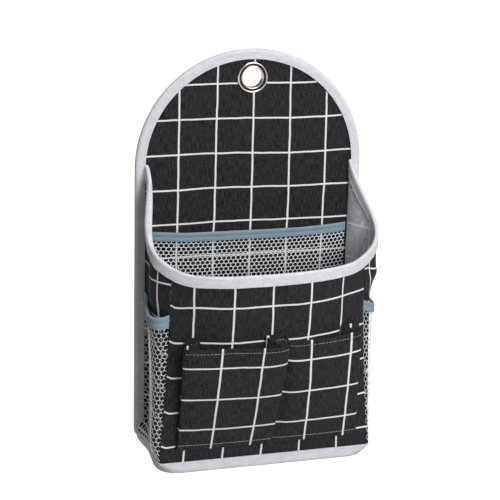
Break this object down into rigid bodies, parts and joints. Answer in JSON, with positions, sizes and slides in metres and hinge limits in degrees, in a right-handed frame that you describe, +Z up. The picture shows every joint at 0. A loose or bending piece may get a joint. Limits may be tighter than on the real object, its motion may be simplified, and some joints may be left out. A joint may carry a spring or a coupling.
{
  "type": "hanging bedside organizer",
  "caption": "Cloth bag on an arched, stiffened back panel that hangs from a metal eyelet, with an open main compartment, mesh pockets inside and at the sides, and pouches on its front.",
  "frame": {"origin": "centre of the eyelet's hole, in the plane of the wall that the back panel hangs against", "axes": "+X to the right as seen from the front, +Y back into the wall, +Z up; the bag is in front of the wall, towards -Y"},
  "size_m": [0.2085, 0.1037, 0.3468],
  "materials": {
    "check_cloth": "matte cotton and linen weave, near black, with thin white windowpane lines",
    "lining_cloth": "matte plain grey weave",
    "white_tape": "matte white binding tape with a fine weave",
    "blue_tape": "matte blue-grey binding tape with a fine weave",
    "mesh": "white knitted mesh with small hexagonal holes",
    "board": "plain grey stiffening board, hidden between cloths",
    "nickel": "bright nickel plate"
  },
  "bodies": {
    "root": {"back_lining": "lining_cloth", "back_board": "board", "back_face_fabric": "check_cloth", "back_binding": "white_tape", "eyelet_flange": "nickel", "eyelet_washer": "nickel", "left_side_panel": "check_cloth", "front_panel": "check_cloth", "right_side_panel": "check_cloth", "mouth_binding": "white_tape", "base_binding": "white_tape", "base_fabric": "lining_cloth", "base_board": "board", "base_lining": "lining_cloth", "inner_mesh_net": "mesh", "inner_mesh_tape": "blue_tape", "left_mesh_net": "mesh", "left_mesh_tape": "blue_tape", "right_mesh_net": "mesh", "right_mesh_tape": "blue_tape", "front_pocket": "check_cloth"}
  },
  "joints": []
}
